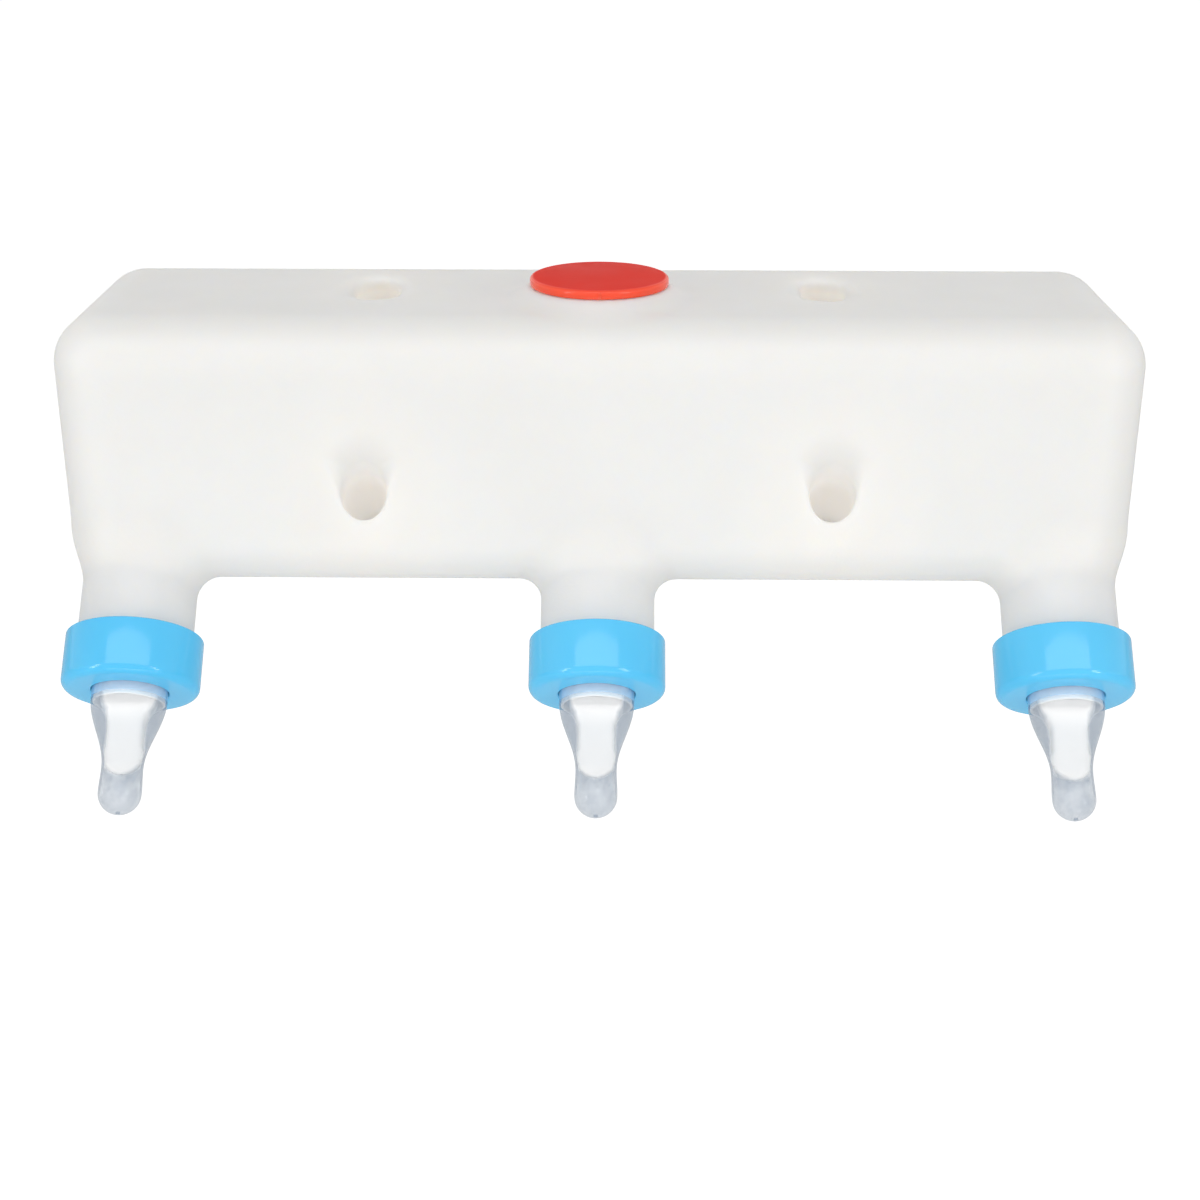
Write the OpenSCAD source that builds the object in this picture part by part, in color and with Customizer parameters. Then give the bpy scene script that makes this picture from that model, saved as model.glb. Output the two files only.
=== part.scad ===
// Wall-hung lamb feeder: a blow-moulded milk tank with a push-in filler plug and a row of
// three necks, each closed by a screw cap that clamps a soft teat and its one-way valve.
// X runs along the tank, Y from the front to the back, Z up. The origin is the middle of
// the flat back face. Sizes are millimetres and angles are degrees.

/* [Tank] */
// Outside width of the tank at its top
tank_w = 372; // [340:1:420]
// Outside depth of the tank, front face to back face
tank_d = 104; // [98:1:125]
// Outside height of the tank, underside to top face
tank_h = 95; // [88:1:115]
// How far each end leans in between the top and the underside
end_lean = 1.5; // [0:0.25:4]
// Radius of the rounded upper edges and corners
top_r = 17; // [12:0.5:20]
// Radius of the rounded lower edges and corners
base_r = 19.5; // [14:0.5:22]
// Thickness of the blown wall
wall = 2.4; // [1.6:0.1:3]

/* [Necks] */
// Distance from each end of the tank to the axis of the nearest neck
neck_end = 26; // [24:0.5:34]
// Slope of the necks below the horizontal
neck_tilt = 48; // [44:1:52]
// Outside diameter of a neck
neck_d = 39.5; // [36:0.5:42]
// Thickness of a neck's wall
neck_wall = 2.5; // [1.8:0.1:3]
// How far behind the front face a neck's axis crosses the plane of the underside
neck_inset = 8; // [5:0.5:11]
// Length of a neck from that crossing to its sealing lip
neck_len = 34; // [31:0.5:42]
// Reach of the blend at a neck's root, sideways and along the neck
neck_blend = 8; // [4:0.5:9]

/* [Screw thread] */
// Advance of the thread in one turn
thread_pitch = 5; // [4.5:0.25:6]
// Turns of thread on a neck
thread_turns = 1.5; // [1:0.25:1.75]
// Turns of thread in a cap
cap_turns = 1.25; // [1:0.25:1.5]
// Height of the thread over the neck
thread_h = 1.2; // [0.8:0.1:1.4]
// Width of the thread at its root
thread_root_w = 2.2; // [1.8:0.1:2.4]
// Width of the thread at its crest
thread_crest_w = 1.2; // [0.8:0.1:1.4]
// Distance from a neck's lip to the middle of the thread's last turn
thread_setback = 2; // [1.6:0.1:2.5]
// Clearance between the threads of a neck and its cap
thread_gap = 0.3; // [0.2:0.05:0.4]

/* [Caps] */
// Thickness of a cap's side wall
cap_wall = 2.25; // [1.6:0.05:3.5]
// Length of a cap along the neck
cap_len = 19.6; // [18.5:0.1:22]
// Thickness of a cap's end wall
cap_end = 2; // [1.5:0.1:2.6]
// Radius of the rounded edge round a cap's end
cap_end_r = 3; // [1.5:0.25:3.25]
// Radius of the rounded edge round a cap's open rim
cap_rim_r = 0.8; // [0.4:0.1:1]

/* [Teats] */
// How far inside a neck's outside the clamped flanges end
flange_inset = 0.7; // [0.4:0.1:1]
// Thickness of the flange that a cap clamps
teat_flange_t = 2; // [1.6:0.1:2.6]
// Diameter of a teat where it leaves the cap
teat_base_d = 25.8; // [23:0.1:28]
// Diameter of a teat at its waist
teat_waist_d = 13.6; // [12:0.1:16]
// Diameter of the bulb at a teat's end
teat_bulb_d = 14.4; // [13.8:0.1:17]
// Reach of a teat past the cap's end face
teat_reach = 42.5; // [38:0.5:50]
// Length of the straight part at a teat's foot, past the cap's end face
teat_foot = 2; // [1:0.25:3]
// Length of the tapering part of a teat
teat_taper = 23; // [18:0.5:26]
// Thickness of a teat's wall
teat_wall = 0.9; // [0.7:0.1:1.2]
// Diameter of the hole in a teat's tip
teat_hole_d = 1.4; // [1:0.1:2]

/* [Valves] */
// Thickness of the flange that lies on a neck's lip
valve_flange_t = 1.5; // [1.2:0.1:2]
// Diameter of a valve at its shoulder
valve_shoulder_d = 18.8; // [15:0.1:20]
// Reach of a valve past the cap's end face
valve_reach = 29; // [24:0.5:31]
// Length of the tapering part of a valve
valve_taper = 12; // [8:0.5:14]
// Thickness of a valve's wall
valve_wall = 1; // [0.7:0.1:1.4]
// Width of the slit across a valve's nose
valve_slit = 0.5; // [0.3:0.1:0.8]

/* [Filler] */
// Distance from the front face to the middle of the filler mouth
filler_y = 44; // [42:0.5:56]
// Diameter of the filler mouth
mouth_d = 38; // [34:0.5:42]
// Height of the raised seat round the mouth
seat_h = 4.5; // [3:0.25:6]
// How far the seat's flat top reaches past the plug's flange
seat_margin = 0.7; // [0.3:0.1:2]
// Slope of the seat's side, across over up
seat_slope = 1.3; // [1:0.1:1.6]

/* [Plug] */
// How far the plug's flange reaches past the mouth
plug_lap = 5.3; // [4:0.1:7]
// Thickness of the plug's flange
plug_flange_t = 3.2; // [2.4:0.2:4]
// Length of the plug's skirt below its flange
plug_skirt = 15; // [12:0.5:18]
// Thickness of the plug's skirt
plug_wall = 2.2; // [1.8:0.1:3]
// Clearance between the plug's sealing ribs and the mouth
plug_gap = 0.1; // [0.05:0.05:0.2]
// Height of the sealing ribs over the skirt
plug_rib_h = 0.6; // [0.4:0.1:0.9]

/* [Hanging tunnels] */
// Bore of the tunnels that pass through the tank
tunnel_d = 16; // [13:0.5:18]
// Height of the front openings' centres above the underside
tunnel_z = 38.6; // [36:0.2:42]

/* [Fits] */
// Gap between clamped faces
seat_gap = 0.05; // [0.02:0.01:0.1]
// Clearance round the teat in the cap's hole, and round the valve's nose in the teat
side_gap = 0.3; // [0.2:0.05:0.5]

/* [Hidden] */
LEFT = -1;
CENTRE = 0;
RIGHT = 1;
ROUND_FN = 96;     // sides of the round pieces
BLEND_FN = 32;     // sides of the spheres that the tank's corners are made of
ROOT_FN = 64;      // sides of the discs that a neck's blend is made of
THREAD_FN = 36;    // thread facets in one turn
THREAD_SINK = 0.3; // how far a thread's root is sunk into its wall
CURVE_STEPS = 12;  // straight steps in each curved stretch of a turned profile
EPS = 0.01;
// A faceted sphere's flats lie this share of its radius out, so its radius is made up for it.
FLAT_SHARE = cos(180 / BLEND_FN);

top_z = tank_h / 2;
base_z = -tank_h / 2;
front_y = -tank_d;
neck_pitch = tank_w / 2 - neck_end;
neck_r = neck_d / 2;
neck_bore_r = neck_r - neck_wall;
flange_r = neck_r - flange_inset;

// Places along a neck's axis, measured from where it crosses the plane of the underside.
lip_s = neck_len;
valve_s = lip_s + seat_gap;
teat_s = valve_s + valve_flange_t + seat_gap;
cap_end_s = teat_s + teat_flange_t + seat_gap;
face_s = cap_end_s + cap_end;
rim_s = face_s - cap_len;
foot_s = face_s + teat_foot;

// A neck starts deep enough for its whole bore to open into the tank.
root_depth = max((wall + neck_r * cos(neck_tilt)) / sin(neck_tilt),
                 (wall + neck_r * sin(neck_tilt) - neck_inset) / cos(neck_tilt));

cap_bore_r = neck_r + thread_h + thread_gap;
cap_r = cap_bore_r + cap_wall;
cap_hole_r = teat_base_d / 2 + side_gap;
thread_s = lip_s - thread_setback - thread_turns * thread_pitch;
// The cap's thread bears on the flank of the neck's thread that faces the tank.
cap_thread_s = thread_s - (thread_root_w + thread_crest_w) / 2 - thread_gap;

// A tunnel runs square to the necks, the way the mould opens, midway between two of them.
tunnel_r = tunnel_d / 2;
tunnel_x = neck_pitch / 2;
tunnel_y = front_y + tunnel_z * tan(neck_tilt) / 2;
tunnel_len = tunnel_z / cos(neck_tilt) + 4 * tunnel_d;

plug_r = mouth_d / 2 + plug_lap;
seat_r = plug_r + seat_margin;

// A half cosine from 1 at t = 0 to 0 at t = 1.
function ease(t) = (1 + cos(180 * t)) / 2;

// Points of a turned stretch whose radius eases from r0 to r1 between lengths s0 and s1.
function eased(s0, r0, s1, r1) =
    [for (i = [0:CURVE_STEPS]) let (t = i / CURVE_STEPS) [r1 + (r0 - r1) * ease(t), s0 + t * (s1 - s0)]];

// Points of a round end of radius r centred at length s, which stop at radius stop_r.
function round_end(s, r, stop_r = 0) =
    [for (i = [1:CURVE_STEPS]) let (a = acos(stop_r / r) * i / CURVE_STEPS) [r * cos(a), s + r * sin(a)]];

function reversed(list) = [for (i = [len(list) - 1:-1:0]) list[i]];

// A teat's outline drawn in by inset, from its foot to the edge of the hole in its tip.
waist_s = foot_s + teat_taper;
bulb_s = face_s + teat_reach - teat_bulb_d / 2;
function teat_outline(inset) = concat(
    eased(foot_s, teat_base_d / 2 - inset, waist_s, teat_waist_d / 2 - inset),
    eased(waist_s + EPS, teat_waist_d / 2 - inset, bulb_s - inset, teat_bulb_d / 2 - inset),
    round_end(bulb_s - inset, teat_bulb_d / 2 - inset, teat_hole_d / 2));

// A valve's outline drawn in by inset, from its shoulder to the end of its nose.
nose_r = teat_waist_d / 2 - teat_wall - side_gap;
nose_s = face_s + valve_reach - nose_r;
function valve_outline(inset) = concat(
    eased(foot_s, valve_shoulder_d / 2 - inset, foot_s + valve_taper, nose_r - inset),
    [[nose_r - inset, nose_s]],
    round_end(nose_s, nose_r - inset));

// Puts its children in the frame of one neck, with +Z out along the neck.
module on_neck(place) {
    translate([place * neck_pitch, front_y + neck_inset, base_z])
        rotate([90 + neck_tilt, 0, 0]) children();
}

// A right-hand helical ridge of trapezoid section, faded out at each end.
module thread_ridge(root_r, crest_r, turns) {
    steps = round(turns * THREAD_FN);
    function ring(i) =
        let (a = i * 360 / THREAD_FN,
             z = i * thread_pitch / THREAD_FN,
             r = (i == 0 || i == steps) ? root_r + 0.1 * (crest_r - root_r) : crest_r)
        [for (p = [[root_r, -thread_root_w / 2], [r, -thread_crest_w / 2],
                   [r, thread_crest_w / 2], [root_r, thread_root_w / 2]])
            [p[0] * cos(a), p[0] * sin(a), z + p[1]]];
    last = 4 * steps;
    sides = [for (i = [0:steps - 1], k = [0:3])
        let (a = 4 * i + k, b = 4 * i + (k + 1) % 4)
        each [[a, b, b + 4], [a, b + 4, a + 4]]];
    ends = [[2, 1, 0], [3, 2, 0], [last, last + 1, last + 2], [last, last + 2, last + 3]];
    faces = concat(sides, ends);
    polyhedron([for (i = [0:steps]) each ring(i)],
               crest_r > root_r ? faces : [for (f = faces) reversed(f)]);
}

// The tank's rounded box, drawn in by inset on every side.
module tank_box(inset) {
    hull()
        for (side = [-1, 1]) {
            for (y = [front_y + top_r, -top_r])
                translate([side * (tank_w / 2 - top_r), y, top_z - top_r])
                    sphere(r = (top_r - inset) / FLAT_SHARE, $fn = BLEND_FN);
            for (y = [front_y + base_r, -base_r])
                translate([side * (tank_w / 2 - end_lean - base_r), y, base_z + base_r])
                    sphere(r = (base_r - inset) / FLAT_SHARE, $fn = BLEND_FN);
        }
}

// The blend that widens a neck's root along the tank's lower edge, on the sides listed.
module neck_root_blend(sides) {
    hull() {
        translate([0, 0, neck_blend / 2]) cylinder(r = neck_r, h = EPS, $fn = ROOT_FN);
        for (side = sides)
            translate([side * neck_blend, 0, -neck_blend]) cylinder(r = neck_r, h = EPS, $fn = ROOT_FN);
    }
}

// The outside of a neck. An outer neck has its blend only on the side away from the tank's end.
module neck_outside(place) {
    on_neck(place) {
        translate([0, 0, -root_depth]) cylinder(r = neck_r, h = root_depth + lip_s, $fn = ROUND_FN);
        translate([0, 0, thread_s]) thread_ridge(neck_r - THREAD_SINK, neck_r + thread_h, thread_turns);
        neck_root_blend([for (side = [-1, 1]) if (side != place) side]);
    }
}

// One cylinder along each hanging tunnel: two from the front face to the underside, and two
// from the top to the back, which are the first two turned half round about the tank's middle.
module tunnels(radius) {
    for (side = [-1, 1], turn = [0, 180])
        translate([side * tunnel_x, front_y / 2, 0]) rotate([turn, 0, 0])
            translate([0, tunnel_y - front_y / 2, base_z + tunnel_z / 2]) rotate([neck_tilt, 0, 0])
                cylinder(r = radius, h = tunnel_len, center = true, $fn = ROUND_FN);
}

// The raised seat round the filler mouth, sunk as deep into the tank as it stands above it.
module filler_seat() {
    translate([0, front_y + filler_y, top_z - seat_h])
        cylinder(r1 = seat_r + 2 * seat_slope * seat_h, r2 = seat_r, h = 2 * seat_h, $fn = ROUND_FN);
}

module tank() {
    color([0.94, 0.94, 0.92])
        difference() {
            union() {
                tank_box(0);
                for (place = [LEFT, CENTRE, RIGHT]) neck_outside(place);
                filler_seat();
            }
            difference() {
                tank_box(wall);
                tunnels(tunnel_r + wall);
            }
            tunnels(tunnel_r);
            for (place = [LEFT, CENTRE, RIGHT])
                on_neck(place)
                    translate([0, 0, -root_depth])
                        cylinder(r = neck_bore_r, h = root_depth + lip_s + 1, $fn = ROUND_FN);
            translate([0, front_y + filler_y, top_z - top_r])
                cylinder(d = mouth_d, h = top_r + seat_h + 1, $fn = ROUND_FN);
        }
}

module filler_plug() {
    rib_r = mouth_d / 2 - plug_gap;
    skirt_r = rib_r - plug_rib_h;
    core_r = skirt_r - plug_wall;
    edge = plug_flange_t / 4;
    color([0.86, 0.16, 0.12])
        translate([0, front_y + filler_y, top_z + seat_h + seat_gap])
            rotate_extrude($fn = ROUND_FN)
                polygon(concat(
                    [[0, plug_flange_t], [plug_r - edge, plug_flange_t], [plug_r, plug_flange_t - edge],
                     [plug_r, edge], [plug_r - edge, 0], [skirt_r, 0]],
                    [for (z = [-0.35, -0.7] * plug_skirt)
                        each [[skirt_r, z + plug_rib_h], [rib_r, z], [skirt_r, z - plug_rib_h]]],
                    [[skirt_r, edge - plug_skirt], [skirt_r - edge, -plug_skirt], [core_r, -plug_skirt],
                     [core_r, 0], [0, 0]]));
}

// Half the section of a solid cap, with a disc in each rounded edge.
module cap_outline() {
    translate([0, rim_s + cap_rim_r]) square([cap_r, cap_len - cap_rim_r - cap_end_r]);
    translate([0, rim_s]) square([cap_r - cap_rim_r, cap_len - cap_end_r]);
    translate([0, rim_s]) square([cap_r - cap_end_r, cap_len]);
    translate([cap_r - cap_rim_r, rim_s + cap_rim_r]) circle(r = cap_rim_r, $fn = ROUND_FN);
    translate([cap_r - cap_end_r, face_s - cap_end_r]) circle(r = cap_end_r, $fn = ROUND_FN);
}

module cap(place) {
    color([0.35, 0.74, 0.98])
        on_neck(place) {
            rotate_extrude($fn = ROUND_FN)
                difference() {
                    cap_outline();
                    translate([-1, rim_s - 1]) square([cap_bore_r + 1, cap_end_s - rim_s + 1]);
                    translate([-1, rim_s - 1]) square([cap_hole_r + 1, cap_len + 2]);
                }
            translate([0, 0, cap_thread_s])
                thread_ridge(cap_bore_r + THREAD_SINK, neck_r + thread_gap, cap_turns);
        }
}

module teat(place) {
    outside = concat([[flange_r, teat_s], [flange_r, teat_s + teat_flange_t],
                      [teat_base_d / 2, teat_s + teat_flange_t]],
                     teat_outline(0));
    inside = concat([[teat_base_d / 2 - teat_wall, teat_s]], teat_outline(teat_wall));
    color([0.85, 0.88, 0.92, 0.5])
        on_neck(place)
            rotate_extrude($fn = ROUND_FN) polygon(concat(outside, reversed(inside)));
}

module valve(place) {
    outside = concat([[flange_r, valve_s], [flange_r, valve_s + valve_flange_t],
                      [valve_shoulder_d / 2, valve_s + valve_flange_t]],
                     valve_outline(0));
    inside = concat([[valve_shoulder_d / 2 - valve_wall, valve_s]], valve_outline(valve_wall));
    color([0.97, 0.97, 0.97])
        on_neck(place)
            difference() {
                rotate_extrude($fn = ROUND_FN) polygon(concat(outside, reversed(inside)));
                translate([-nose_r / 2, -valve_slit / 2, nose_s]) cube([nose_r, valve_slit, 2 * nose_r]);
            }
}

tank();
filler_plug();
cap(LEFT);  // left_cap
teat(LEFT);  // left_teat
valve(LEFT);  // left_valve
cap(CENTRE);  // centre_cap
teat(CENTRE);  // centre_teat
valve(CENTRE);  // centre_valve
cap(RIGHT);  // right_cap
teat(RIGHT);  // right_teat
valve(RIGHT);  // right_valve
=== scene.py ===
"""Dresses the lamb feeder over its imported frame: a blow-moulded tank, a filler plug, and on each
neck a screw cap, a clear teat and a white valve. Sizes are millimetres in the frame's axes."""

import math

import bpy
import numpy as np
from mathutils import Matrix, Vector


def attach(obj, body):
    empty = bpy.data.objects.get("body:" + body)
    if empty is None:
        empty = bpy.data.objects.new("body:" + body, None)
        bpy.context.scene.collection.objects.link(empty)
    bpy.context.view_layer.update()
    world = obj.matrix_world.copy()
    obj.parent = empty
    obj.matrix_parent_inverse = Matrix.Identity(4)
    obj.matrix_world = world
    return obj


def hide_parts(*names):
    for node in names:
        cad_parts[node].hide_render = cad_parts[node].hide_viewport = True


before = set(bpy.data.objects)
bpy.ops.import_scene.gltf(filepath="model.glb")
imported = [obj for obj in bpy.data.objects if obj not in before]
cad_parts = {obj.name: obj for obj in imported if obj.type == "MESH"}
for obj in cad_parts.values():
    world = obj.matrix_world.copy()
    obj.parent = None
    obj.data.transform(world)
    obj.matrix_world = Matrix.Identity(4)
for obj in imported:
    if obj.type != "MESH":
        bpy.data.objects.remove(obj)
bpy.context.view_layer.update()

MM = 0.001
SEGMENTS = 128

# Tank
TANK_W = 372.0
TANK_D = 104.0
TANK_H = 95.0
END_LEAN = 1.5
TOP_R = 17.0
BASE_R = 19.5
WALL = 2.4
HOLLOW_INSET = 6.0

# The grid that the tank is meshed on
TANK_STEP = 1.3
TANK_LOW = (-189.15, -136, -89)
TANK_HIGH = (189.2, 3, 55)
PULLS = 4
NUDGE = 0.05

# Necks
NECK_PITCH = 160.0
NECK_TILT = math.radians(48)
NECK_R = 19.75
NECK_BORE_R = 16.5
NECK_INSET = 8.0
NECK_LEN = 34.0
NECK_ROOT = 30.0
NECK_BLEND = 8.0
NECK_LIP = 0.6

# Screw thread
THREAD_PITCH = 5.0
THREAD_H = 1.2
THREAD_GAP = 0.3
THREAD_SUNK = 0.3
THREAD_S = 24.5
CAP_THREAD_S = 22.5
THREAD_TURNS = 1.5
CAP_THREAD_TURNS = 1.25

# Caps, along the neck from where its axis crosses the plane of the underside
CAP_R = 23.5
CAP_BORE_R = NECK_R + THREAD_H + THREAD_GAP
CAP_RIM_S = 20.05
CAP_END_S = 37.65
CAP_FACE_S = 39.65
CAP_HOLE_R = 13.2

# Teats, with the stops of their film by length along the neck
FLANGE_R = 19.05
TEAT_S = 35.6
TEAT_FLANGE_T = 2.0
TEAT_FOOT = 2.6
TEAT_TAPER = 24.2
TEAT_BASE_R = 12.9
TEAT_WAIST_R = 7.0
TEAT_BULB_R = 7.3
TEAT_REACH = 42.8
TEAT_WALL = 0.5
TEAT_HOLE_R = 0.7
TEAT_THIN_TO = [(43, 0.3), (46, 0.24), (48.5, 0.17), (52, 0.19), (56, 0.25),
                (58.5, 0.34), (60.5, 0.46), (62, 0.53), (64, 0.5)]
# Film past the valve's end: grey as the bulb's walls are seen through, and densest just past the valve as a
# painted shadow of it.
TEAT_TIP = [(67, 0), (69, 0.93), (71.5, 0.88), (75, 0.74), (84, 0.74)]
TEAT_TIP_SLANT = 0.33
TEAT_TIP_ROUND = 0.08
# Where the foot's painted blue refraction of the cap fades out.
TEAT_FOOT_FADE = (42.4, 42.9)
TEAT_BULB_FADE = (72.0, 76.0)

# Valves
VALVE_S = 34.05
VALVE_FLANGE_T = 1.5
VALVE_BORE_R = 8.4
VALVE_BORE_S = VALVE_S + 4
VALVE_WALL = 1.0
VALVE_ROOT_R = 12.1
VALVE_RING_R = 12.25
VALVE_RING_S = 42.9
VALVE_RING_T = 0.8
VALVE_CUP_S = 40.3
VALVE_CUP = (8.6, 4.5)
VALVE_LIP_S = 41.85
VALVE_SHOULDER_S = VALVE_LIP_S + 0.9
VALVE_SHOULDER = 8.7
VALVE_EAR_S = 59.3
VALVE_EAR_END = 0.6
VALVE_TONGUE_S = 63.9
VALVE_END_S = 68.65

# Filler mouth and plug
FILLER_Y = 44.0 - TANK_D
MOUTH_R = 19.0
MOUTH_DEPTH = 16.0
MOUTH_LIP = 0.8
COLLAR_H = 9.0
COLLAR_DROP = 5.0
SEAT_H = 4.5
SEAT_R = 25.0
SEAT_SLOPE = 1.2
SEAT_BLEND = 12.0
SEAT_FADE = 20.0
SEAT_TOP = TANK_H / 2 + SEAT_H
PLUG_Z = SEAT_TOP + 0.05
PLUG_R = 24.3
PLUG_T = 3.2
PLUG_SKIRT = 15.0
PLUG_SKIRT_R = 18.3
PLUG_RIB_R = 18.9
PLUG_RIB_HALF = 0.9
PLUG_RIBS_AT = (0.35, 0.7)
PLUG_CORE_R = 16.1
GATE_X = 0.5
GATE_SEGMENTS = 24
GATE_SECTIONS = [(0, 0, 0.3, 2), (0.5, 0.4, 0.5, 4), (0.55, 0.6, 1.4, 4), (0.5, 0.4, 2.3, 4), (0, 0, 2.5, 2)]

# Hanging tunnels
TUNNEL_R = 8.0
TUNNEL_X = NECK_PITCH / 2
TUNNEL_Z = 38.6
TUNNEL_LIP = 1.6
TUNNEL_TOP_LIP = 4.5
TUNNEL_SOFT_LIP = 9.0
TUNNEL_BOSS = 20.0
BOSS_LIP = 6.0

# Painted light in the tunnels' walls, drawn as an emission: the depth where it starts, the depth over which
# it grows, and its most
FRONT_GLOW = (4, 10, 1)
TOP_GLOW = (2, 6, 0.85)
GLOW_BELOW = 20
GLOW_FADE = 15

# Stage, in metres apart from the floor
FLOOR_Z = -420
FLOOR_SIZE = 60000
FLOOR_LIFT = 0.52
ROOM_LIGHT = 0.545
LAMP_AIM = (0, -0.08, -0.02)

# Camera
IMAGE_PX = 1200
SENSOR = 36

NECKS = {"left": -1, "centre": 0, "right": 1}
AXIS = np.array([0.0, -math.cos(NECK_TILT), -math.sin(NECK_TILT)])
ACROSS = np.array([0.0, -math.sin(NECK_TILT), math.cos(NECK_TILT)])
SIDEWAYS = np.array([1.0, 0.0, 0.0])
NECK_FOOT = np.array([0.0, NECK_INSET - TANK_D, -TANK_H / 2])


def neck_matrix(place):
    """Turns a neck's own frame, with +Z out along the neck, into the object's frame in metres."""
    foot = NECK_FOOT + SIDEWAYS * place * NECK_PITCH
    turn = Matrix.Rotation(math.pi / 2 + NECK_TILT, 4, "X")
    return Matrix.Translation(Vector(foot * MM)) @ turn


def add_mesh(name, verts, faces, matrix=None, sharp=35):
    """Makes an object from points in millimetres, smooth but for edges sharper than sharp degrees."""
    mesh = bpy.data.meshes.new(name)
    mesh.from_pydata([tuple(v) for v in np.asarray(verts) * MM], [], [tuple(f) for f in faces])
    if matrix is not None:
        mesh.transform(matrix)
    mesh.validate()
    mesh.shade_smooth()
    if sharp:
        mesh.set_sharp_from_angle(angle=math.radians(sharp))
    obj = bpy.data.objects.new(name, mesh)
    bpy.context.scene.collection.objects.link(obj)
    return obj


def dress(obj, material, body, replaced=None):
    """Gives a piece its material and its body, and hides the CAD node that it stands for."""
    obj.data.materials.append(material)
    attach(obj, body)
    if replaced:
        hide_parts(replaced)


# Turned pieces


def rounded(corners, steps=6):
    """Turns (radius, length, fillet) corners into a closed outline with an arc at each fillet."""
    outline = []
    count = len(corners)
    for i, (r, s, fillet) in enumerate(corners):
        here = np.array([r, s])
        if fillet <= 0:
            outline.append(here)
            continue
        back = np.array(corners[i - 1][:2]) - here
        ahead = np.array(corners[(i + 1) % count][:2]) - here
        back /= np.linalg.norm(back)
        ahead /= np.linalg.norm(ahead)
        half = math.acos(np.clip(back @ ahead, -1, 1)) / 2
        reach = fillet / math.tan(half)
        middle = (back + ahead) / np.linalg.norm(back + ahead)
        centre = here + middle * fillet / math.sin(half)
        start = here + back * reach - centre
        end = here + ahead * reach - centre
        sweep = math.atan2(start[0] * end[1] - start[1] * end[0], start @ end)
        for k in range(steps + 1):
            a = sweep * k / steps
            outline.append(centre + np.array([start[0] * math.cos(a) - start[1] * math.sin(a),
                                              start[0] * math.sin(a) + start[1] * math.cos(a)]))
    return outline


def power(value, exponent):
    """A power that keeps the sign of its value."""
    return math.copysign(abs(value) ** exponent, value)


def loft(name, sections, matrix, segments=SEGMENTS):
    """Skins a closed run of (half width, half depth, length, squareness) sections.

    A section of no width is a pole."""
    verts = []
    rings = []
    for wide, deep, s, square in sections:
        start = len(verts)
        if wide < 1e-6:
            verts.append((0, 0, s))
            rings.append([start] * segments)
            continue
        for k in range(segments):
            a = 2 * math.pi * k / segments
            verts.append((wide * power(math.cos(a), 2 / square), deep * power(math.sin(a), 2 / square), s))
        rings.append(list(range(start, start + segments)))
    faces = []
    for i, ring in enumerate(rings):
        after = rings[(i + 1) % len(rings)]
        for k in range(segments):
            j = (k + 1) % segments
            face = list(dict.fromkeys((ring[k], ring[j], after[j], after[k])))
            if len(face) > 2:
                faces.append(face)
    return add_mesh(name, verts, faces, matrix)


def lathe(name, outline, matrix):
    """Turns a closed outline of (radius, length) points round the axis."""
    return loft(name, [(r, r, s, 2) for r, s in outline], matrix)


def helix_ridge(name, root_r, crest_r, start_s, turns, matrix, per_turn=72):
    """A right-hand thread ridge with a rounded trapezoid section that fades in and out."""
    steps = round(turns * per_turn)
    section = [(0, -1.1), (0.75, -0.72), (1, -0.4), (1, 0.4), (0.75, 0.72), (0, 1.1)]
    verts = []
    for i in range(steps + 1):
        a = 2 * math.pi * i / per_turn
        s = start_s + THREAD_PITCH * i / per_turn
        fade = min(1.0, 0.05 + min(i, steps - i) / (per_turn * 0.12))
        for out, along in section:
            r = root_r + (crest_r - root_r) * out * fade
            verts.append((r * math.cos(a), r * math.sin(a), s + along))
    size = len(section)
    faces = []
    for i in range(steps):
        for k in range(size):
            j = (k + 1) % size
            faces.append((i * size + k, i * size + j, (i + 1) * size + j, (i + 1) * size + k))
    faces.append(list(range(size))[::-1])
    faces.append([steps * size + k for k in range(size)])
    if crest_r > root_r:
        faces = [face[::-1] for face in faces]
    return add_mesh(name, verts, faces, matrix)


def ease(t):
    """Falls smoothly from 1 to 0 as t goes from 0 to 1."""
    return (1 + math.cos(math.pi * t)) / 2


def eased(s0, r0, s1, r1, steps=24):
    """An outline that flows from one radius and length to another, level at both ends."""
    return [np.array([r1 + (r0 - r1) * ease(i / steps), s0 + (s1 - s0) * i / steps])
            for i in range(steps + 1)]


def round_end(s, r, stop_r, steps=16):
    """A round end of radius r about length s, open at its middle to stop_r."""
    last = math.acos(stop_r / r)
    return [np.array([r * math.cos(last * i / steps), s + r * math.sin(last * i / steps)])
            for i in range(1, steps + 1)]


# The tank, as a field of distances meshed by surface nets


def round_union(a, b, r):
    """Joins two distance fields with a fillet of radius r."""
    return np.maximum(r, np.minimum(a, b)) - np.hypot(np.maximum(r - a, 0), np.maximum(r - b, 0))


def round_cut(a, b, r):
    """Cuts field b out of field a, with its edges rounded to radius r."""
    return -round_union(-a, b, r)


def tank_box(x, y, z):
    """The plain box with rounded edges, drawn in at the foot of its ends."""
    up = np.clip(z / TANK_H + 0.5, 0, 1)
    r = BASE_R + (TOP_R - BASE_R) * up
    qx = np.abs(x) - (TANK_W / 2 - END_LEAN * (1 - up) - r)
    qy = np.abs(y + TANK_D / 2) - (TANK_D / 2 - r)
    qz = np.abs(z) - (TANK_H / 2 - r)
    d = np.sqrt(np.maximum(qx, 0) ** 2 + np.maximum(qy, 0) ** 2 + np.maximum(qz, 0) ** 2)
    return d + np.minimum(np.maximum(qx, np.maximum(qy, qz)), 0) - r


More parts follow.
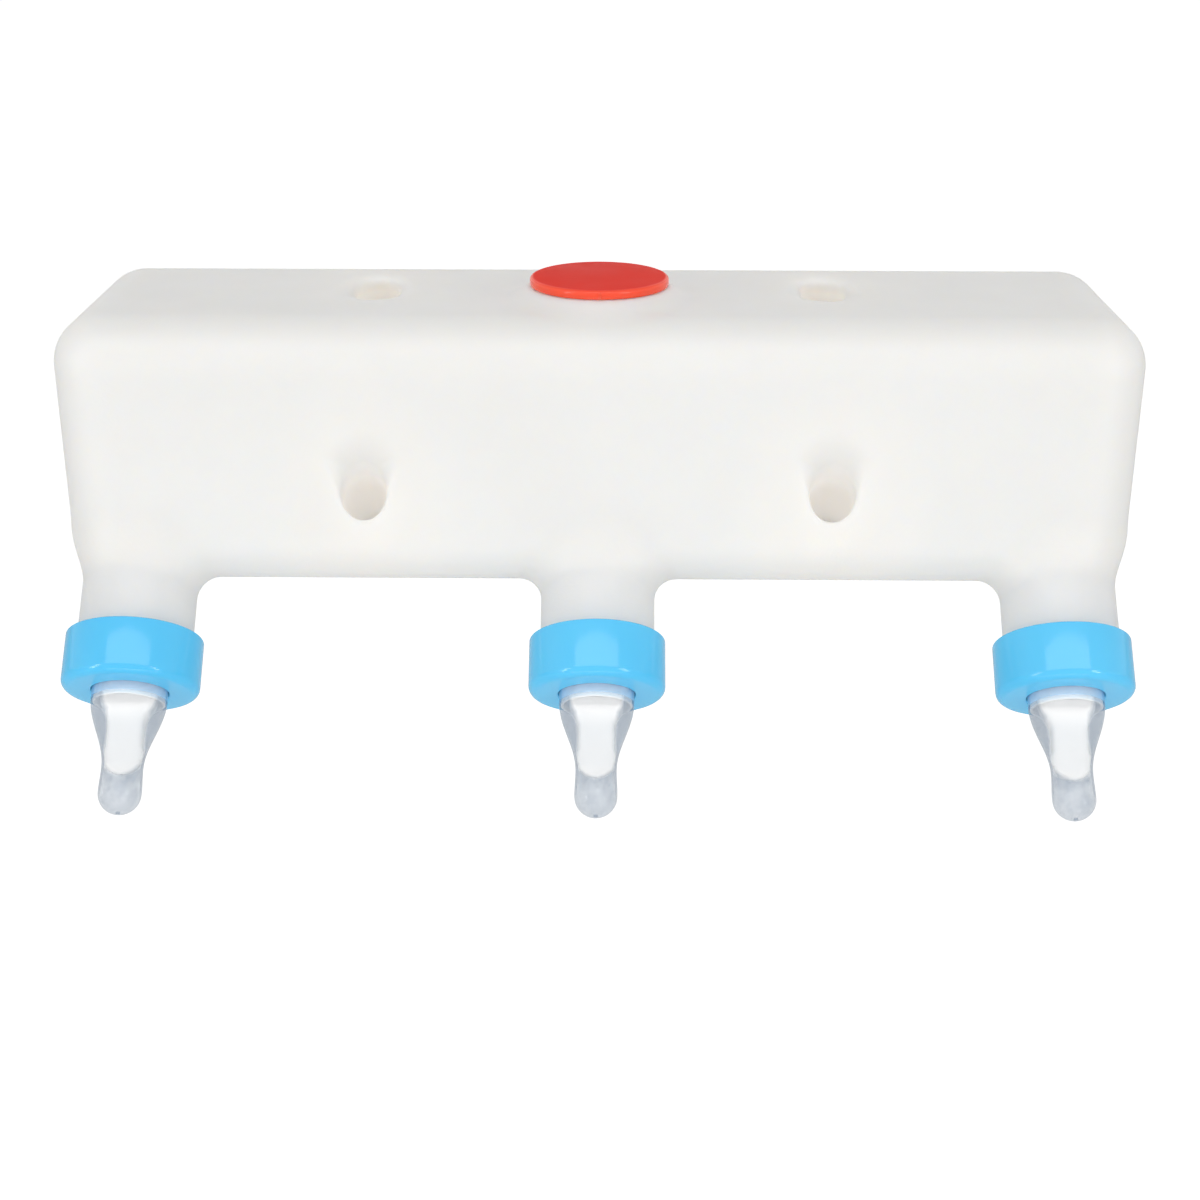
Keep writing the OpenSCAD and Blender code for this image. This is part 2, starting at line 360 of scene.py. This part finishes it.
def tunnel(way, x, y, z):
    """The distance from the axis of the front (-1) or top (1) tunnels, and the radius of their lips."""
    dy = (y + TANK_D / 2) * way - (TANK_D / 2 - TUNNEL_Z * math.tan(NECK_TILT) / 2)
    dz = z * way - (TANK_H / 2 - TUNNEL_Z / 2)
    across = dy * math.cos(NECK_TILT) + dz * math.sin(NECK_TILT)
    soft = np.clip(-across / TUNNEL_R, 0, 1)
    crisp = TUNNEL_LIP if way < 0 else TUNNEL_TOP_LIP
    return np.hypot(np.abs(x) - TUNNEL_X, across), crisp + (TUNNEL_SOFT_LIP - crisp) * soft


def painted_tunnel_glow(points):
    """How much painted light, an emission, shows in the tunnels' walls, which grows with depth in from the
    front and top.
    """
    x, y, z = points.T
    depth = np.maximum(-tank_box(x, y, z), 0)
    up = z * math.cos(NECK_TILT) - (y + TANK_D / 2) * math.sin(NECK_TILT)
    share = np.clip((up + GLOW_BELOW) / GLOW_FADE, 0, 1)
    level = np.zeros(len(points))
    for way, (start, over, most) in ((-1, FRONT_GLOW), (1, TOP_GLOW)):
        in_wall = tunnel(way, x, y, z)[0] < TUNNEL_R + 1
        level = np.maximum(level, np.where(in_wall, np.clip((depth - start) / over, 0, most), 0))
    return level * share


def filler_seat(x, y):
    """How far the seat round the filler mouth stands over the tank's top, which it flows into."""
    out = np.hypot(x, y - FILLER_Y)
    lean = math.atan2(1, SEAT_SLOPE)
    flow_r = SEAT_R + SEAT_SLOPE * SEAT_H + SEAT_BLEND * math.tan(lean / 2)
    across = np.clip(flow_r - out, 0, SEAT_BLEND * math.sin(lean))
    flow = SEAT_BLEND - np.sqrt(SEAT_BLEND ** 2 - across ** 2)
    cone = SEAT_H - (out - SEAT_R) / SEAT_SLOPE
    return np.minimum(np.where(flow_r - out > across, cone, flow), SEAT_H)


def neck_places(y, z):
    """Lengths along a neck's axis and across it in the plane of the section."""
    dy = y - NECK_FOOT[1]
    dz = z - NECK_FOOT[2]
    return dy * AXIS[1] + dz * AXIS[2], dy * ACROSS[1] + dz * ACROSS[2]


def tank_outside(x, y, z):
    """The tank's outside: the box with its filler seat, its necks and its tunnels."""
    d = tank_box(x, y, z) - filler_seat(x, y) * np.clip(z / SEAT_FADE - 0.5, 0, 1)
    along, across = neck_places(y, z)
    for offset in (x, np.abs(x) - NECK_PITCH):
        neck = np.hypot(offset, across) - NECK_R
        neck = round_cut(neck, NECK_LEN - along, NECK_LIP)
        d = round_union(d, np.maximum(neck, -NECK_ROOT - along), NECK_BLEND)
    for way in (-1, 1):
        off, lip = tunnel(way, x, y, z)
        d = round_cut(d, off - TUNNEL_R, lip)
    return d


def tank_field(points):
    """The distance from the tank's surface, outside and in, negative in the plastic."""
    x, y, z = points.T
    hollow = tank_box(x, y, z) + HOLLOW_INSET
    for way in (-1, 1):
        hollow = round_cut(hollow, tunnel(way, x, y, z)[0] - TUNNEL_R - TUNNEL_BOSS, BOSS_LIP)
    d = np.maximum(tank_outside(x, y, z), -hollow)
    from_mouth = np.hypot(x, y - FILLER_Y)
    collar = np.maximum(from_mouth - MOUTH_R - WALL, np.abs(z - SEAT_TOP + COLLAR_DROP) - COLLAR_H / 2)
    d = round_union(d, collar, MOUTH_LIP)
    d = round_cut(d, np.maximum(from_mouth - MOUTH_R, SEAT_TOP - MOUTH_DEPTH - z), MOUTH_LIP)
    along, across = neck_places(y, z)
    for offset in (x, np.abs(x) - NECK_PITCH):
        bore = np.maximum(np.hypot(offset, across) - NECK_BORE_R, -along)
        d = round_cut(d, bore, NECK_LIP)
    return d


def surface_net(field, low, high, step):
    """Meshes the zero level of a field: one point in each cell that it crosses, pulled onto it."""
    axes = [np.arange(a, b + step, step) for a, b in zip(low, high)]
    shape = tuple(len(a) for a in axes)
    values = np.empty(shape)
    for i, x in enumerate(axes[0]):
        y, z = np.meshgrid(axes[1], axes[2], indexing="ij")
        points = np.stack([np.full(y.size, x), y.ravel(), z.ravel()], 1)
        values[i] = field(points).reshape(y.shape)
    inside = values < 0
    cells = tuple(n - 1 for n in shape)
    total = np.zeros(cells + (3,))
    count = np.zeros(cells)
    crossings = []
    for axis in range(3):
        first = [slice(None)] * 3
        second = [slice(None)] * 3
        first[axis] = slice(None, -1)
        second[axis] = slice(1, None)
        first, second = tuple(first), tuple(second)
        crossed = np.argwhere(inside[first] != inside[second])
        a = values[first][tuple(crossed.T)]
        b = values[second][tuple(crossed.T)]
        place = crossed.astype(float)
        place[:, axis] += a / (a - b)
        others = [k for k in range(3) if k != axis]
        corners = []
        for back in ((0, 0), (1, 0), (1, 1), (0, 1)):
            cell = crossed.copy()
            cell[:, others[0]] -= back[0]
            cell[:, others[1]] -= back[1]
            np.add.at(total, tuple(cell.T), place)
            np.add.at(count, tuple(cell.T), 1)
            corners.append(np.ravel_multi_index(tuple(cell.T), cells))
        quads = np.stack(corners, 1)
        flip = (a >= 0) if axis != 1 else (a < 0)
        quads[flip] = quads[flip][:, ::-1]
        crossings.append(quads)
    used = count > 0
    number = np.cumsum(used.ravel()) - 1
    points = np.array(low) + step * total[used] / count[used][:, None]
    for _ in range(PULLS):
        points = onto_surface(field, points, step / 2)
    return points, number[np.concatenate(crossings)]


def onto_surface(field, points, most):
    """Moves points one step down the field's slope, by no more than most, onto its zero level."""
    d = field(points)
    slope = np.empty_like(points)
    for k in range(3):
        nudge = np.zeros(3)
        nudge[k] = NUDGE
        slope[:, k] = (field(points + nudge) - field(points - nudge)) / (2 * NUDGE)
    steepness = np.maximum((slope ** 2).sum(1), 0.25)
    move = -(d / steepness)[:, None] * slope
    far = np.maximum(np.linalg.norm(move, axis=1) / most, 1)
    return points + move / far[:, None]


# Materials


def new_material(name):
    """A node material, with its nodes, its links and its shader."""
    mat = bpy.data.materials.new(name)
    mat.use_nodes = True
    nodes = mat.node_tree.nodes
    return mat, nodes, mat.node_tree.links, nodes["Principled BSDF"]


def noise(nodes, links, scale, detail=3.0, roughness=0.5):
    """Noise on the object's own coordinates, at features a metre."""
    coords = nodes.new("ShaderNodeTexCoord")
    texture = nodes.new("ShaderNodeTexNoise")
    texture.inputs["Scale"].default_value = scale
    texture.inputs["Detail"].default_value = detail
    texture.inputs["Roughness"].default_value = roughness
    links.new(coords.outputs["Object"], texture.inputs["Vector"])
    return texture.outputs["Fac"]


def ramp(nodes, links, factor, low, high, first, last):
    """Maps a factor between two stops onto two colours or grey levels."""
    node = nodes.new("ShaderNodeValToRGB")
    for element, place, value in zip(node.color_ramp.elements, (low, high), (first, last)):
        element.position = place
        element.color = tuple(value) + (1,) if not np.isscalar(value) else (value, value, value, 1)
    links.new(factor, node.inputs["Fac"])
    return node.outputs["Color"]


def bump(nodes, links, shader, height, strength, distance):
    """Gives the shader a normal that follows a height."""
    node = nodes.new("ShaderNodeBump")
    node.inputs["Strength"].default_value = strength
    node.inputs["Distance"].default_value = distance
    links.new(height, node.inputs["Height"])
    links.new(node.outputs["Normal"], shader.inputs["Normal"])


def calculate(nodes, links, operation, first, second):
    """A Math node on a socket and a second socket or number."""
    node = nodes.new("ShaderNodeMath")
    node.operation = operation
    links.new(first, node.inputs[0])
    if np.isscalar(second):
        node.inputs[1].default_value = second
    else:
        links.new(second, node.inputs[1])
    return node.outputs["Value"]


def span(nodes, links, value, low, high, first, last):
    """Maps a value between low and high evenly onto first to last, and holds it there outside them."""
    node = nodes.new("ShaderNodeMapRange")
    for name, number in (("From Min", low), ("From Max", high), ("To Min", first), ("To Max", last)):
        node.inputs[name].default_value = number
    links.new(value, node.inputs["Value"])
    return node.outputs["Result"]


def curve(nodes, links, value, stops):
    """A number that changes evenly between (value, number) stops."""
    low, high = stops[0][0], stops[-1][0]
    node = nodes.new("ShaderNodeValToRGB")
    elements = node.color_ramp.elements
    while len(elements) < len(stops):
        elements.new(1.0)
    for element, (place, number) in zip(elements, stops):
        element.position = (place - low) / (high - low)
        element.color = (number, number, number, 1)
    links.new(span(nodes, links, value, low, high, 0.0, 1.0), node.inputs["Fac"])
    return node.outputs["Color"]


def blend(nodes, links, factor, first, second, kind):
    """Mixes two colours or numbers, each a socket or a constant, by a factor."""
    mix = nodes.new("ShaderNodeMix")
    mix.data_type = kind
    slots = [s for s in mix.inputs if s.enabled]
    links.new(factor, slots[0])
    for slot, value in zip(slots[1:], (first, second)):
        if isinstance(value, bpy.types.NodeSocket):
            links.new(value, slot)
        else:
            slot.default_value = value
    return [s for s in mix.outputs if s.enabled][0]


def from_neck(nodes, links, direction):
    """How far a point is from the centre neck's foot along a direction, in millimetres."""
    coords = nodes.new("ShaderNodeTexCoord")
    shift = nodes.new("ShaderNodeVectorMath")
    shift.operation = "SUBTRACT"
    shift.inputs[1].default_value = NECK_FOOT * MM
    links.new(coords.outputs["Object"], shift.inputs[0])
    along = nodes.new("ShaderNodeVectorMath")
    along.operation = "DOT_PRODUCT"
    along.inputs[1].default_value = direction / MM
    links.new(shift.outputs["Vector"], along.inputs[0])
    return along.outputs["Value"]


def moulded_plastic(name, dark, light, rough, subsurface, radius, grain, grain_depth, specular=0.5):
    """Plastic with faint mottling, uneven gloss and a fine mould texture."""
    mat, nodes, links, shader = new_material(name)
    mottle = noise(nodes, links, 22.0, 4.0)
    links.new(ramp(nodes, links, mottle, 0.3, 0.7, dark, light), shader.inputs["Base Color"])
    patches = noise(nodes, links, 60.0, 2.0)
    links.new(ramp(nodes, links, patches, 0.3, 0.7, rough[0], rough[1]), shader.inputs["Roughness"])
    shader.inputs["Subsurface Weight"].default_value = subsurface
    shader.inputs["Subsurface Radius"].default_value = radius
    shader.inputs["Subsurface Scale"].default_value = 1.0
    shader.inputs["Specular IOR Level"].default_value = specular
    bump(nodes, links, shader, noise(nodes, links, grain, 3.0, 0.6), 0.25, grain_depth)
    return mat


def tip_density(nodes, links, along, edge_on):
    """How dense the film is past the end of the valve, which slants and is round across."""
    slant = calculate(nodes, links, "MULTIPLY", from_neck(nodes, links, ACROSS), TEAT_TIP_SLANT)
    beside = calculate(nodes, links, "WRAP", from_neck(nodes, links, SIDEWAYS), NECK_PITCH / 2)
    beside.node.inputs[2].default_value = -NECK_PITCH / 2
    squared = calculate(nodes, links, "MULTIPLY", beside, beside)
    roundness = calculate(nodes, links, "MULTIPLY", squared, TEAT_TIP_ROUND)
    slanted = calculate(nodes, links, "SUBTRACT", along, slant)
    towards_tip = calculate(nodes, links, "ADD", slanted, roundness)
    # Painted highlights: noise thins and thickens the film past the valve in blotches, standing in for
    # reflections in the bulb.
    painted_highlight_blotches = noise(nodes, links, 240.0, 2.0)
    uneven = span(nodes, links, painted_highlight_blotches, 0.35, 0.65, 0.82 * edge_on, 1.12 * edge_on)
    return calculate(nodes, links, "MULTIPLY", curve(nodes, links, towards_tip, TEAT_TIP), uneven)


def clear_silicone(name, face_on, edge_on, foot_on):
    """Thin clear rubber: see-through face on, and denser in its foot, its tip and where seen edge on; the
    foot's blue is a painted refraction of the cap.
    """
    mat, nodes, links, shader = new_material(name)
    haze = noise(nodes, links, 180.0, 3.0)
    links.new(ramp(nodes, links, haze, 0.35, 0.7, 0.06, 0.16), shader.inputs["Roughness"])
    along = from_neck(nodes, links, AXIS)
    foot = span(nodes, links, along, *TEAT_FOOT_FADE, 1.0, 0.0)
    cloud = noise(nodes, links, 90.0)
    grey = ramp(nodes, links, cloud, 0.3, 0.7, (0.19, 0.27, 0.37), (0.24, 0.32, 0.43))
    # Painted refraction: the blue foot colour paints in the cap seen through the clear rubber.
    colour = blend(nodes, links, foot, grey, (0.3, 0.56, 0.84, 1), "RGBA")
    links.new(colour, shader.inputs["Base Color"])
    weight = nodes.new("ShaderNodeLayerWeight")
    weight.inputs["Blend"].default_value = 0.5
    facing = weight.outputs["Facing"]
    turned = calculate(nodes, links, "SUBTRACT", facing, curve(nodes, links, along, TEAT_THIN_TO))
    edge = span(nodes, links, turned, -0.03, 0.06, face_on, edge_on)
    fade = span(nodes, links, along, *TEAT_BULB_FADE, 1.0, 0.8)
    sides = calculate(nodes, links, "MULTIPLY", edge, fade)
    dense = calculate(nodes, links, "MAXIMUM", sides, tip_density(nodes, links, along, edge_on))
    held = span(nodes, links, facing, 0.25, 0.75, foot_on / 2, foot_on)
    alpha = blend(nodes, links, foot, dense, held, "FLOAT")
    path = nodes.new("ShaderNodeLightPath")
    lit = calculate(nodes, links, "MAXIMUM", path.outputs["Is Shadow Ray"], path.outputs["Is Diffuse Ray"])
    thinner = span(nodes, links, lit, 0.0, 1.0, 1.0, 0.25)
    links.new(calculate(nodes, links, "MULTIPLY", alpha, thinner), shader.inputs["Alpha"])
    bump(nodes, links, shader, noise(nodes, links, 350.0, 2.0), 0.1, 0.0003)
    return mat


def painted_glow_inside(mat, attribute, colour, strength):
    """Paints light into thin walls as an emission where a mesh attribute is high, standing in for light that
    comes through from the far side.
    """
    nodes, links = mat.node_tree.nodes, mat.node_tree.links
    inputs = nodes["Principled BSDF"].inputs
    share = nodes.new("ShaderNodeAttribute")
    share.attribute_name = attribute
    level = calculate(nodes, links, "MULTIPLY", share.outputs["Fac"], strength)
    links.new(level, inputs["Emission Strength"])
    inputs["Emission Color"].default_value = colour


def painted_glow_along(mat, stops):
    """Paints light into the rubber as a white emission, by (length along the neck, level) stops, lifting the
    shade under the cap.
    """
    nodes, links = mat.node_tree.nodes, mat.node_tree.links
    inputs = nodes["Principled BSDF"].inputs
    level = curve(nodes, links, from_neck(nodes, links, AXIS), stops)
    links.new(level, inputs["Emission Strength"])
    inputs["Emission Color"].default_value = (1, 1, 1, 1)


def rim_gloss_and_painted_light(mat, centre, low, high, colour, rough, gloss, glow, glow_colour):
    """Blends in more gloss towards an upright piece's rim, with a brighter colour and an emission there that
    paint light onto its side wall.
    """
    nodes, links = mat.node_tree.nodes, mat.node_tree.links
    coords = nodes.new("ShaderNodeTexCoord")
    flat = nodes.new("ShaderNodeVectorMath")
    flat.operation = "MULTIPLY_ADD"
    flat.inputs[1].default_value = (1 / MM, 1 / MM, 0)
    flat.inputs[2].default_value = (-centre[0], -centre[1], 0)
    links.new(coords.outputs["Object"], flat.inputs[0])
    out = nodes.new("ShaderNodeVectorMath")
    out.operation = "LENGTH"
    links.new(flat.outputs["Vector"], out.inputs[0])
    near = span(nodes, links, out.outputs["Value"], low, high, 0.0, 1.0)
    inputs = nodes["Principled BSDF"].inputs
    base, matt, shine = inputs["Base Color"], inputs["Roughness"], inputs["Specular IOR Level"]
    # Painted light: the brighter rim colour and the emission below.
    links.new(blend(nodes, links, near, base.links[0].from_socket, colour, "RGBA"), base)
    links.new(blend(nodes, links, near, matt.links[0].from_socket, rough, "FLOAT"), matt)
    links.new(span(nodes, links, near, 0.0, 1.0, shine.default_value, gloss), shine)
    links.new(span(nodes, links, near, 0.0, 1.0, 0.0, glow), inputs["Emission Strength"])
    inputs["Emission Color"].default_value = glow_colour


tank_plastic = moulded_plastic(
    "natural_polyethylene", dark=(0.855, 0.845, 0.825), light=(0.875, 0.865, 0.845), rough=(0.38, 0.5),
    subsurface=1.0, radius=(0.007, 0.0063, 0.0052), grain=900.0, grain_depth=0.00015)
# Painted light: a warm emission in the tunnels' walls, standing in for light through the thin plastic.
painted_glow_inside(tank_plastic, "painted_tunnel_glow", colour=(1.0, 0.93, 0.86, 1), strength=0.19)
plug_plastic = moulded_plastic(
    "red_plastic", dark=(0.79, 0.03, 0.018), light=(0.85, 0.038, 0.024), rough=(0.4, 0.5),
    subsurface=0.5, radius=(0.006, 0.0015, 0.001), grain=700.0, grain_depth=0.0001, specular=0.02)
# Painted light: a brighter orange-red and a red emission on the plug's side wall; the gloss is real.
rim_gloss_and_painted_light(plug_plastic, (0, FILLER_Y), low=22.9, high=24.2, colour=(0.88, 0.065, 0.025, 1),
           rough=0.16, gloss=0.3, glow=0.13, glow_colour=(1, 0.24, 0.14, 1))
cap_plastic = moulded_plastic(
    "blue_plastic", dark=(0.088, 0.575, 0.975), light=(0.108, 0.605, 0.99), rough=(0.11, 0.15),
    subsurface=0.1, radius=(0.001, 0.002, 0.004), grain=500.0, grain_depth=0.00006, specular=0.42)
valve_rubber = moulded_plastic(
    "white_silicone", dark=(0.965, 0.97, 0.975), light=(0.98, 0.985, 0.99), rough=(0.35, 0.45),
    subsurface=0.3, radius=(0.003, 0.003, 0.003), grain=600.0, grain_depth=0.00008)
# Painted light: emission near the valve's top, where the cap shades it.
painted_glow_along(valve_rubber, [(41, 0.02), (44, 0.03), (45, 0.09), (52, 0)])
teat_outside = clear_silicone("clear_silicone", face_on=0.04, edge_on=0.47, foot_on=0.8)
teat_inside = clear_silicone("clear_silicone_inside", face_on=0.02, edge_on=0.04, foot_on=0.04)


# Tank

points, quads = surface_net(tank_field, TANK_LOW, TANK_HIGH, TANK_STEP)
tank = add_mesh("tank_shell", points, quads, sharp=0)
# The painted tunnel light's level, kept on the shell's points.
tank.data.attributes.new("painted_tunnel_glow", "FLOAT", "POINT").data.foreach_set("value", painted_tunnel_glow(points))
dress(tank, tank_plastic, "tank", "tank")
for side, place in NECKS.items():
    thread = helix_ridge(side + "_neck_thread", NECK_R - THREAD_SUNK, NECK_R + THREAD_H, THREAD_S,
                         THREAD_TURNS, neck_matrix(place))
    dress(thread, tank_plastic, "tank")

# Filler plug

ribs = []
for share in PLUG_RIBS_AT:
    z = -share * PLUG_SKIRT
    ribs += [(PLUG_SKIRT_R, z + PLUG_RIB_HALF, 0), (PLUG_RIB_R, z, 0.3), (PLUG_SKIRT_R, z - PLUG_RIB_HALF, 0)]
plug_outline = rounded(
    [(0, PLUG_T, 0), (PLUG_R, PLUG_T, 1.3), (PLUG_R, 0, 0.7), (PLUG_SKIRT_R, 0, 0)] + ribs
    + [(PLUG_SKIRT_R, -PLUG_SKIRT, 0.8), (PLUG_CORE_R, -PLUG_SKIRT, 0.5), (PLUG_CORE_R, 0, 1.0), (0, 0, 0)])
plug = lathe("plug_body", plug_outline[::-1], Matrix.Translation((0, FILLER_Y * MM, PLUG_Z * MM)))
dress(plug, plug_plastic, "plug", "filler_plug")
gate = loft("plug_gate_mark", GATE_SECTIONS,
            Matrix.Translation((GATE_X * MM, (FILLER_Y - PLUG_R) * MM, PLUG_Z * MM)), GATE_SEGMENTS)
dress(gate, plug_plastic, "plug")

# Caps, teats and valves

cap_outline = rounded([
    (CAP_BORE_R, CAP_RIM_S, 0.4), (CAP_R, CAP_RIM_S, 0.8), (CAP_R, CAP_FACE_S, 3.0),
    (CAP_HOLE_R, CAP_FACE_S, 0.5), (CAP_HOLE_R, CAP_END_S, 0.3), (CAP_BORE_R, CAP_END_S, 0.6)])

foot_s = CAP_FACE_S + TEAT_FOOT
waist_s = foot_s + TEAT_TAPER
bulb_s = CAP_FACE_S + TEAT_REACH - TEAT_BULB_R


def teat_side(inset):
    """A teat's side drawn in by inset, from its foot to the hole in its tip."""
    waist = TEAT_WAIST_R - inset
    bulb = TEAT_BULB_R - inset
    return (eased(foot_s, TEAT_BASE_R - inset, waist_s, waist)
            + eased(waist_s, waist, bulb_s - inset, bulb)[1:]
            + round_end(bulb_s - inset, bulb, TEAT_HOLE_R))


teat_flange = rounded([
    (TEAT_BASE_R - TEAT_WALL, TEAT_S, 0), (FLANGE_R, TEAT_S, 0.5),
    (FLANGE_R, TEAT_S + TEAT_FLANGE_T, 0.5), (TEAT_BASE_R, TEAT_S + TEAT_FLANGE_T, 0)])
teat_outer = teat_flange + teat_side(0)
teat_outline = teat_outer + teat_side(TEAT_WALL)[::-1]


def valve_section(s, inset):
    """A valve's section drawn in by inset: a square-shouldered sleeve that flattens to an eared tongue."""
    shoulder = ease(np.clip((s - VALVE_SHOULDER_S) / VALVE_SHOULDER, 0, 1))
    flat = np.clip((s - VALVE_LIP_S) / (VALVE_TONGUE_S - VALVE_LIP_S), 0, 1)
    ears = np.clip(s - VALVE_EAR_S, 0, 1) * np.clip((VALVE_TONGUE_S - s) / VALVE_EAR_END, 0, 1)
    tongue = np.clip((s - VALVE_TONGUE_S) / (VALVE_END_S - VALVE_TONGUE_S), 0, 1)
    end = math.sqrt(1 - tongue ** 2)
    wide = (6.1 + 3.1 * shoulder + 0.15 * (1 - flat) + 0.5 * ears) * end
    deep = (5.3 - 2.7 * flat) * (0.3 + 0.7 * end)
    square = 5 - 2 * flat - 0.6 * ears
    if wide < 0.01:
        return 0, 0, s, 2
    return max(wide - inset, 0.3), max(deep - inset, 0.3), s - inset * tongue, square


valve_flange_s = VALVE_S + VALVE_FLANGE_T
ring_end_s = VALVE_RING_S + VALVE_RING_T
valve_outside = [(VALVE_BORE_R, VALVE_S)]
valve_outside += rounded([
    (FLANGE_R, VALVE_S, 0.4), (FLANGE_R, valve_flange_s, 0.4), (VALVE_ROOT_R, valve_flange_s, 0),
    (VALVE_ROOT_R, VALVE_RING_S, 0), (VALVE_RING_R, VALVE_RING_S, 0.1), (VALVE_RING_R, ring_end_s, 0.2),
    (VALVE_RING_R - 0.9, ring_end_s, 0.3), (VALVE_RING_R - 1.0, VALVE_CUP_S, 0)])
sleeve_s = np.linspace(VALVE_LIP_S, VALVE_TONGUE_S, 90)
tongue_s = VALVE_TONGUE_S + (VALVE_END_S - VALVE_TONGUE_S) * np.sin(np.linspace(0, math.pi / 2, 20)[1:])
body_s = np.append(sleeve_s, tongue_s)
valve_sections = [(r, r, s, 2) for r, s in valve_outside]
valve_sections += [(*VALVE_CUP, VALVE_CUP_S, 4), (*VALVE_CUP, VALVE_LIP_S - 0.2, 4)]
valve_sections += [valve_section(s, 0) for s in body_s]
valve_sections += [valve_section(s, VALVE_WALL) for s in body_s[-2::-1]]
valve_sections += [(VALVE_BORE_R, VALVE_BORE_R, VALVE_BORE_S, 2)]

for side, place in NECKS.items():
    matrix = neck_matrix(place)
    cap = lathe(side + "_cap_shell", cap_outline, matrix)
    dress(cap, cap_plastic, side + "_cap", side + "_cap")
    thread = helix_ridge(side + "_cap_thread", CAP_BORE_R + THREAD_SUNK, NECK_R + THREAD_GAP, CAP_THREAD_S,
                         CAP_THREAD_TURNS, matrix)
    dress(thread, cap_plastic, side + "_cap")
    teat = lathe(side + "_teat_skin", teat_outline, matrix)
    dress(teat, teat_outside, side + "_teat_set", side + "_teat")
    teat.data.materials.append(teat_inside)
    for face in teat.data.polygons[len(teat_outer) * SEGMENTS:]:
        face.material_index = 1
    valve = loft(side + "_valve_sleeve", valve_sections, matrix)
    dress(valve, valve_rubber, side + "_teat_set", side + "_valve")

# Floor, light and camera


def lit_floor(name):
    """A white floor that keeps soft shadows, lifted to white where the camera sees it unshadowed."""
    mat, nodes, links, shader = new_material(name)
    shader.inputs["Base Color"].default_value = (0.92, 0.92, 0.92, 1)
    shader.inputs["Roughness"].default_value = 0.9
    shader.inputs["Specular IOR Level"].default_value = 0.0
    path = nodes.new("ShaderNodeLightPath").outputs
    seen = calculate(nodes, links, "MAXIMUM", path["Is Camera Ray"], path["Is Transmission Ray"])
    shader.inputs["Emission Color"].default_value = (1, 1, 1, 1)
    lift = calculate(nodes, links, "MULTIPLY", seen, FLOOR_LIFT)
    links.new(lift, shader.inputs["Emission Strength"])
    return mat


def add_floor(height, size):
    """A square floor under the object, which isn't part of it."""
    half = size / 2
    corners = [(-half, -half, height), (half, -half, height), (half, half, height), (-half, half, height)]
    floor = add_mesh("floor", corners, [(0, 1, 2, 3)], sharp=0)
    floor.data.materials.append(lit_floor("white_floor"))


def soft_box(name, place, aim, width, height, power):
    """A rectangular lamp that faces a point."""
    data = bpy.data.lights.new(name, "AREA")
    data.shape = "RECTANGLE"
    data.size = width
    data.size_y = height
    data.energy = power
    lamp = bpy.data.objects.new(name, data)
    bpy.context.scene.collection.objects.link(lamp)
    lamp.location = place
    lamp.rotation_euler = (Vector(aim) - Vector(place)).to_track_quat("-Z", "Y").to_euler()


def white_world(strength):
    """A white room, plain white to the eye and in gloss, and dimmer and warmer as light."""
    world = bpy.data.worlds.new("white_room")
    world.use_nodes = True
    bpy.context.scene.world = world
    nodes = world.node_tree.nodes
    links = world.node_tree.links
    path = nodes.new("ShaderNodeLightPath").outputs
    mirrored = calculate(nodes, links, "MAXIMUM", path["Is Camera Ray"], path["Is Glossy Ray"])
    seen = calculate(nodes, links, "MAXIMUM", mirrored, path["Is Transmission Ray"])
    inputs = nodes["Background"].inputs
    links.new(blend(nodes, links, seen, (1, 0.997, 0.98, 1), (1, 1, 1, 1), "RGBA"), inputs["Color"])
    links.new(span(nodes, links, seen, 0.0, 1.0, strength, 1.0), inputs["Strength"])


def add_camera():
    """The photograph's camera: fitted to the outlines of the tank, plug, caps and teats."""
    focal_px, centre_y = 2044.16, 520.0
    pitch, yaw, roll, distance = 0.33604, -0.01073, 0.00144, 697.69
    target = np.array([0.81, -TANK_D, 27.6 - TANK_H / 2])
    ahead = np.array([math.sin(yaw) * math.cos(pitch), math.cos(yaw) * math.cos(pitch), -math.sin(pitch)])
    level = np.array([math.cos(yaw), -math.sin(yaw), 0])
    upright = np.cross(level, ahead)
    right = level * math.cos(roll) + upright * math.sin(roll)
    up = upright * math.cos(roll) - level * math.sin(roll)
    place = (target - ahead * distance) * MM
    data = bpy.data.cameras.new("camera")
    data.sensor_fit = "HORIZONTAL"
    data.sensor_width = SENSOR
    data.lens = focal_px / IMAGE_PX * SENSOR
    data.shift_y = (centre_y - IMAGE_PX / 2) / IMAGE_PX
    camera = bpy.data.objects.new("camera", data)
    bpy.context.scene.collection.objects.link(camera)
    turn = Matrix((right, up, -ahead)).transposed().to_4x4()
    camera.matrix_world = Matrix.Translation(Vector(place)) @ turn
    bpy.context.scene.camera = camera


add_floor(FLOOR_Z, FLOOR_SIZE)
white_world(ROOM_LIGHT)
soft_box("key_box", (0, -1.0, 1.25), LAMP_AIM, width=2.2, height=0.5, power=7.2)
soft_box("left_box", (-1.2, -1.0, 0.25), LAMP_AIM, width=0.24, height=0.75, power=3.2)
soft_box("right_box", (1.05, -1.13, 0.25), LAMP_AIM, width=0.24, height=0.75, power=3.2)
soft_box("low_box", (0, -0.85, -0.38), (0, -0.1, -0.07), width=1.0, height=0.1, power=1.1)
add_camera()
bpy.context.scene.view_settings.view_transform = "Standard"
